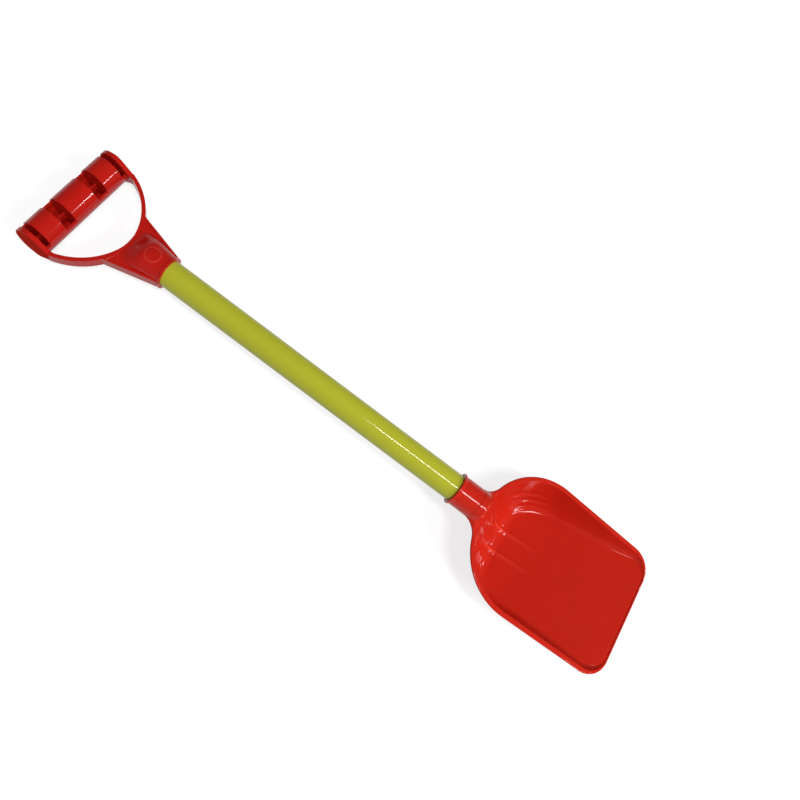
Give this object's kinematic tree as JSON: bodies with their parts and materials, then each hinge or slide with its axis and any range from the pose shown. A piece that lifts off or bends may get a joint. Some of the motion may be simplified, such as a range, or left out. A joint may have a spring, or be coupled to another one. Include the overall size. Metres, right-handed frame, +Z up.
{
  "type": "sand shovel",
  "caption": "Child's sand shovel with a moulded D-grip handle, a straight tube and a deep square-fronted scoop, lying on its back.",
  "frame": {"origin": "middle of the footprint, on the ground that the shovel lies on", "axes": "+Y along the shovel from the scoop's front edge to the grip, +Z up, out of the open side of the scoop, +X to the right when looking along +Y"},
  "size_m": [0.1206, 0.5642, 0.0562],
  "materials": {
    "handle_plastic": "gloss",
    "tube_plastic": "gloss",
    "scoop_plastic": "gloss"
  },
  "bodies": {
    "root": {"d_handle": "handle_plastic", "tube": "tube_plastic", "scoop": "scoop_plastic"}
  },
  "joints": []
}
